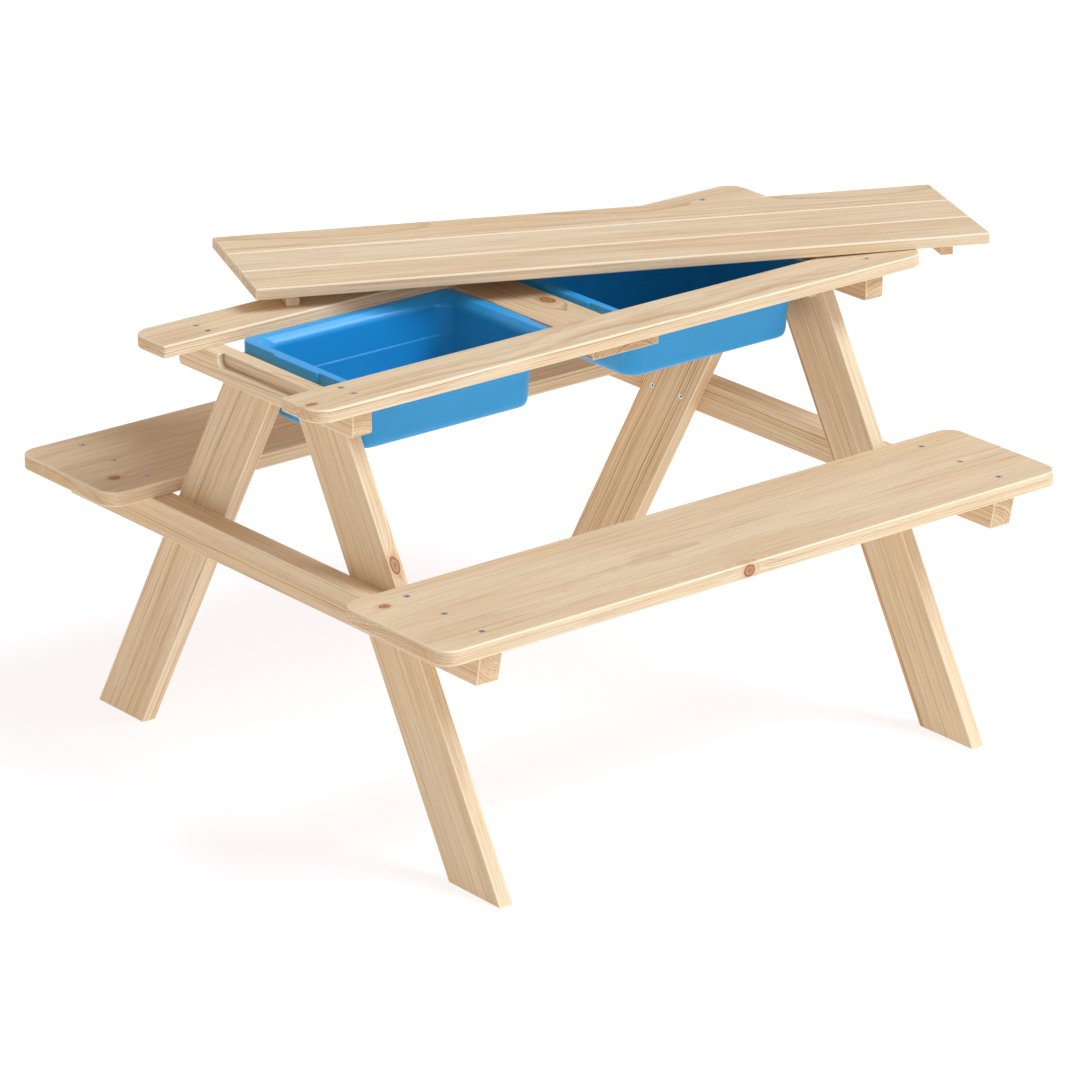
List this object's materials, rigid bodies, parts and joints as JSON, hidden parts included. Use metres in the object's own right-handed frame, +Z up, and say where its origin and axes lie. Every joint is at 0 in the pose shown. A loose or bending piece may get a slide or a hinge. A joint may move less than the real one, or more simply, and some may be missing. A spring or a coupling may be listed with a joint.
{
  "type": "sand and water table",
  "caption": "Child's wooden picnic table with fixed benches, blue lift-out tubs for sand and water under the top, and a loose plank lid lying askew.",
  "frame": {"origin": "on the floor, under the centre of the table (between the four feet)", "axes": "+X along the table to its right end, +Y from the front bench to the back bench, +Z up"},
  "size_m": [1.0291, 0.788, 0.5523],
  "materials": {
    "pine": "planed bare pine, satin",
    "blue_plastic": "moulded polypropylene, satin gloss",
    "zinc_screws": "bright zinc plate"
  },
  "bodies": {
    "table": {"front_top_plank": "pine", "back_top_plank": "pine", "middle_board": "pine", "left_end_rail": "pine", "right_end_rail": "pine", "left_tub_ledge": "pine", "right_tub_ledge": "pine", "front_left_leg": "pine", "back_left_leg": "pine", "front_right_leg": "pine", "back_right_leg": "pine", "left_seat_bearer": "pine", "right_seat_bearer": "pine", "front_bench": "pine", "back_bench": "pine", "top_plank_screws": "zinc_screws", "bench_screws": "zinc_screws", "bearer_screws": "zinc_screws", "rail_screws": "zinc_screws", "middle_board_screws": "zinc_screws"},
    "lid": {"front_lid_plank": "pine", "middle_lid_plank": "pine", "back_lid_plank": "pine", "left_lid_batten": "pine", "right_lid_batten": "pine", "lid_screws": "zinc_screws"},
    "left_tub": {"left_tub": "blue_plastic"},
    "right_tub": {"right_tub": "blue_plastic"}
  },
  "joints": [
    {"name": "lid_lift", "type": "slide", "parent": "table", "child": "lid", "axis": [0, 0, 1], "range_m": [0, 0.45]},
    {"name": "left_tub_lift", "type": "slide", "parent": "table", "child": "left_tub", "axis": [0, 0, 1], "range_m": [0, 0.21]},
    {"name": "right_tub_lift", "type": "slide", "parent": "table", "child": "right_tub", "axis": [0, 0, 1], "range_m": [0, 0.21]}
  ],
  "couplings": [
    {"joint": "left_tub_lift", "follows": "lid_lift", "ratio": 0.45},
    {"joint": "right_tub_lift", "follows": "lid_lift", "ratio": 0.45}
  ]
}
